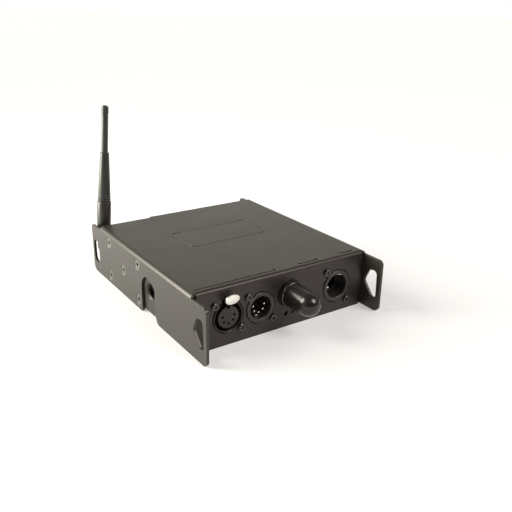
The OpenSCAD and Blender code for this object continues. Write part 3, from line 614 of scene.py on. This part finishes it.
def outlet_latch():
    """Oval thumb plate, bright, on a finger that runs into the connector, dark as painted shade under the
    plate.
    """
    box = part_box("xlr_out_latch")
    c = middle(box)
    half_w, half_h, plate_t, lean = 5.1, 3.35, 1.2, 8
    soft = 0.4
    half = plate_t / 2
    rim = [(soft, -half), (soft * 0.3, -half + soft * 0.3), (0, -half + soft), (0, half - soft),
           (soft * 0.3, half - soft * 0.3), (soft, half)]

    def oval(inset):
        angles = [math.radians(a) for a in range(0, 360, 5)]
        return [((half_w - inset) * math.cos(a), (half_h - inset) * math.sin(a)) for a in angles]

    tip, foot = math.sin(math.radians(lean)), math.cos(math.radians(lean))
    plate_y = box[0].y + (half_h * tip + half * foot) * MM
    plate_z = box[1].z - (half_h * foot + half * tip) * MM
    piece("latch_plate", stack(oval, rim), "latch", "latch_nickel", ["xlr_out_latch"],
          at((c.x, plate_y, plate_z), (90 + lean, 0, 0)))
    finger_w, finger_t, bevel, corner = 7.6, 1.2, 0.25, 0.3
    start = plate_y + 0.1 * MM
    long = (box[1].y - start) / MM
    layers = [(bevel, 0), (0, bevel), (0, long - bevel), (bevel, long)]
    finger = stack(round_rect(finger_w, finger_t, corner, 4), layers)
    # the finger takes the dark screw finish as painted shade under the plate; the real finger is the plate's
    # own metal
    piece("latch_finger", finger, "latch", "black_screw", (),
          at((c.x, start, box[0].z + finger_t / 2 * MM), OUT_OF_REAR))


outlet_latch()


# ---------- whip antenna ----------


# heights along the whip, in millimetres from the fold's pin
BARREL_AT, RIBS_AT, STEP_AT = 5.0, 36.3, 74.6
ROD_SUNK = 5.9


def ribs(barrel_r, foot_r, count, pitch):
    """Profile of the rings round the barrel, each one a little smaller than the one below."""
    profile = []
    for i in range(count):
        low = RIBS_AT + 0.55 + i * pitch
        top = barrel_r - 0.3 - 0.12 * i
        profile += [(foot_r, low), (top - 0.25, low + 0.18), (top, low + 0.45), (top, low + 0.85),
                    (top - 0.25, low + 1.15), (foot_r, low + 1.35)]
    return profile


def whip_sleeve(stand):
    """The thick lower part: a barrel, three rings, a long taper, and the tongue that the pin goes through."""
    barrel_r, rib_foot, rib_count, rib_pitch, mouth_r = 5.4, 4.55, 3, 2.0, 2.47
    ribs_end = RIBS_AT + rib_count * rib_pitch
    profile = [(0, BARREL_AT), (4.3, BARREL_AT), (barrel_r - 0.25, BARREL_AT + 0.5),
               (barrel_r, BARREL_AT + 1.3), (barrel_r, RIBS_AT - 0.9), (barrel_r - 0.25, RIBS_AT - 0.35),
               (rib_foot, RIBS_AT)]
    profile += ribs(barrel_r, rib_foot, rib_count, rib_pitch)
    profile += [(4.7, ribs_end), (4.6, ribs_end + 3), (3.35, STEP_AT - 0.8), (3.1, STEP_AT - 0.2),
                (2.85, STEP_AT), (mouth_r, STEP_AT), (mouth_r, STEP_AT - 6), (0, STEP_AT - 6)]
    barrel = lathe(profile, 96)
    tongue_r, tongue_half, neck_half, bevel = 4.0, 1.7, 3, 0.3
    cheek = [(bevel, -tongue_half), (0, -tongue_half + bevel), (0, tongue_half - bevel), (bevel, tongue_half)]

    def tongue_outline(inset):
        r = tongue_r - inset
        low = [(r * math.cos(math.radians(a)), r * math.sin(math.radians(a))) for a in range(180, 361, 9)]
        top = BARREL_AT + 0.6
        return low + [(neck_half - inset, top), (-neck_half + inset, top)]

    upright = at((0, 0, 0), (90, 0, 90))
    sleeve = merged([(barrel, Matrix.Identity(4)), (stack(tongue_outline, cheek), upright)])
    piece("whip_sleeve", sleeve, "whip", "antenna_plastic", ["antenna_sleeve"], stand)


def whip():
    """The whip's three parts, in line with the fold's pivot and leaning as it does."""
    pivot = Vector(JOINTS["antenna_fold"]["pos_m"])
    hinge = Vector(JOINTS["antenna_fold"]["axis"])
    lean = math.degrees(math.atan2(hinge.z, -hinge.x))
    stand = at(pivot, (0, lean, 0))
    whip_sleeve(stand)
    rod_r, peg_r, peg_len, tip_len = 2.45, 1.2, 2.9, 7.0
    length = (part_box("antenna_tip")[1].z - pivot.z) / MM / math.cos(math.radians(lean))
    tip_at = length - tip_len
    rod = soften([(0, STEP_AT - ROD_SUNK), (rod_r, STEP_AT - ROD_SUNK), (rod_r, tip_at), (peg_r, tip_at),
                  (peg_r, tip_at + peg_len), (0, tip_at + peg_len)], 0.2)
    piece("whip_rod", lathe(rod, 72), "whip", "antenna_plastic", ["antenna_rod"], stand)
    cap_r, neck_r, neck = 2.6, 2.2, 0.8
    cap = soften([(peg_r + 0.05, tip_at), (neck_r, tip_at), (neck_r, tip_at + neck), (cap_r, tip_at + neck),
                  (cap_r, length - 1.7), (cap_r * 0.86, length - 0.75), (cap_r * 0.45, length - 0.12),
                  (0, length)], 0.45, 5)
    piece("whip_tip", lathe(cap, 72), "whip", "antenna_plastic", ["antenna_tip"], stand)


whip()


def coupling_nut():
    """Knurled nut that holds the whip's knuckle on the jack."""
    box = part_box("antenna_coupling_nut")
    c = middle(box)
    long = (box[1].y - box[0].y) / MM
    outer_r, bore_r, neck_r, wall = 4.5, 3.12, 2.46, 1.0
    knurls, knurl_deep, plain, rows = 30, 0.22, 0.6, 8
    bevel, edge, first_row = 0.35, 0.05, 0.62

    def knurl(radius, height, angle):
        if radius < outer_r - 0.02 or height < plain or height > long - plain:
            return radius
        return radius - knurl_deep * abs(math.sin(knurls * angle / 2)) ** 0.6

    outside = [(neck_r, long), (outer_r - bevel, long), (outer_r - edge, long - 0.3)]
    outside += [(outer_r, long - first_row - (long - 2 * first_row) * i / rows) for i in range(rows + 1)]
    outside += [(outer_r - edge, 0.3), (outer_r - bevel, 0), (bore_r, 0), (bore_r, long - wall),
                (neck_r, long - wall)]
    piece("coupling_nut_knurled", lathe(outside, 180, knurl, closed=True), "unit", "antenna_black",
          ["antenna_coupling_nut"], at((c.x, box[0].y, c.z), OUT_OF_REAR))


coupling_nut()


# ---------- floor, light and camera ----------


# colours of the light all round, and of the lights from the left
WARM = (1.0, 0.97, 0.915)
KEY_WARM = (1.0, 1.01, 0.87)


def floor():
    """A wide pale disc just under the object, which glows a little so that it stays white."""
    wide, below, glow = 14, 0.0001, 0.42
    bpy.ops.mesh.primitive_circle_add(vertices=96, radius=wide, fill_type="NGON", location=(0, 0, -below))
    ground = bpy.context.object
    ground.name = "floor"
    p = Paint("floor_paper")
    p.set(Base_Color=p.mix(p.noise(0.4, 2), (0.485, 0.48, 0.515), (0.495, 0.49, 0.525)), Roughness=0.9)
    p.shader.inputs["Specular IOR Level"].default_value = 0.1
    p.shader.inputs["Emission Color"].default_value = (*WARM, 1)
    p.shader.inputs["Emission Strength"].default_value = glow
    ground.data.materials.append(p.material)


def sky(front, back, shown):
    """Light from all round, of strength front before the object and back behind it, and strongest low down.

    The camera sees an even tone of shown instead.
    """
    world = bpy.data.worlds.new("studio")
    bpy.context.scene.world = world
    world.use_nodes = True
    tree = world.node_tree
    tree.nodes.clear()
    where = tree.nodes.new("ShaderNodeTexCoord")
    split = tree.nodes.new("ShaderNodeSeparateXYZ")
    tree.links.new(where.outputs["Generated"], split.inputs[0])
    levels = []
    for axis, low, high, at_low, at_high in (("Y", -0.8, 0.8, front, back), ("Z", 0.1, 0.75, 1.15, 0.2)):
        level = tree.nodes.new("ShaderNodeMapRange")
        for key, value in (("From Min", low), ("From Max", high), ("To Min", at_low), ("To Max", at_high)):
            level.inputs[key].default_value = value
        tree.links.new(split.outputs[axis], level.inputs["Value"])
        levels.append(level.outputs[0])
    strength = tree.nodes.new("ShaderNodeMath")
    strength.operation = "MULTIPLY"
    lit = tree.nodes.new("ShaderNodeBackground")
    lit.inputs["Color"].default_value = (*WARM, 1)
    seen = tree.nodes.new("ShaderNodeBackground")
    seen.inputs["Color"].default_value = (shown, shown, shown, 1)
    path = tree.nodes.new("ShaderNodeLightPath")
    mix = tree.nodes.new("ShaderNodeMixShader")
    out = tree.nodes.new("ShaderNodeOutputWorld")
    for source, target in (
        (levels[0], strength.inputs[0]), (levels[1], strength.inputs[1]),
        (strength.outputs[0], lit.inputs["Strength"]), (path.outputs["Is Camera Ray"], mix.inputs[0]),
        (lit.outputs[0], mix.inputs[1]), (seen.outputs[0], mix.inputs[2]), (mix.outputs[0], out.inputs[0]),
    ):
        tree.links.new(source, target)


def sun(name, toward, strength, spread, colour=WARM):
    """A distant soft light; toward is the direction from the object to the light."""
    data = bpy.data.lights.new(name, "SUN")
    data.energy, data.angle, data.color = strength, math.radians(spread), colour
    made = bpy.data.objects.new(name, data)
    made.rotation_euler = Vector(toward).to_track_quat("Z", "Y").to_euler()
    bpy.context.scene.collection.objects.link(made)


def softbox(name, toward, distance, light, size, colour=WARM):
    """A square soft light at distance metres that gives about light W/m2 at the object."""
    data = bpy.data.lights.new(name, "AREA")
    data.energy, data.size, data.color = light * math.pi * distance ** 2, size, colour
    made = bpy.data.objects.new(name, data)
    made.location = Vector(toward).normalized() * distance
    made.rotation_euler = Vector(toward).to_track_quat("Z", "Y").to_euler()
    made.visible_camera = False
    bpy.context.scene.collection.objects.link(made)


def camera():
    """A view from the left and above, whose place, turn and lens were fitted to the case's straight edges."""
    place = (-0.23050, -0.37482, 0.20163)
    right = Vector((0.82802, -0.56048, 0.01574))
    up = Vector((0.19522, 0.31450, 0.92897))
    data = bpy.data.cameras.new("camera")
    data.sensor_width, data.lens = 36.0, 44.454
    data.clip_start, data.clip_end = 0.01, 100.0
    made = bpy.data.objects.new("camera", data)
    turn = Matrix((right, up, right.cross(up))).transposed().to_4x4()
    made.matrix_world = Matrix.Translation(place) @ turn
    bpy.context.scene.collection.objects.link(made)
    bpy.context.scene.camera = made


floor()
sky(front=0.02, back=1.06, shown=1.0)
softbox("left_back", (-0.80, 0.52, 0.27), distance=0.7, light=4.9, size=0.3, colour=KEY_WARM)
sun("key", (-0.68, 0.45, 0.58), strength=2.7, spread=30, colour=KEY_WARM)
sun("fill", (0.357, -0.642, 0.679), strength=2.3, spread=30)
camera()
bpy.context.scene.view_settings.view_transform = "Standard"
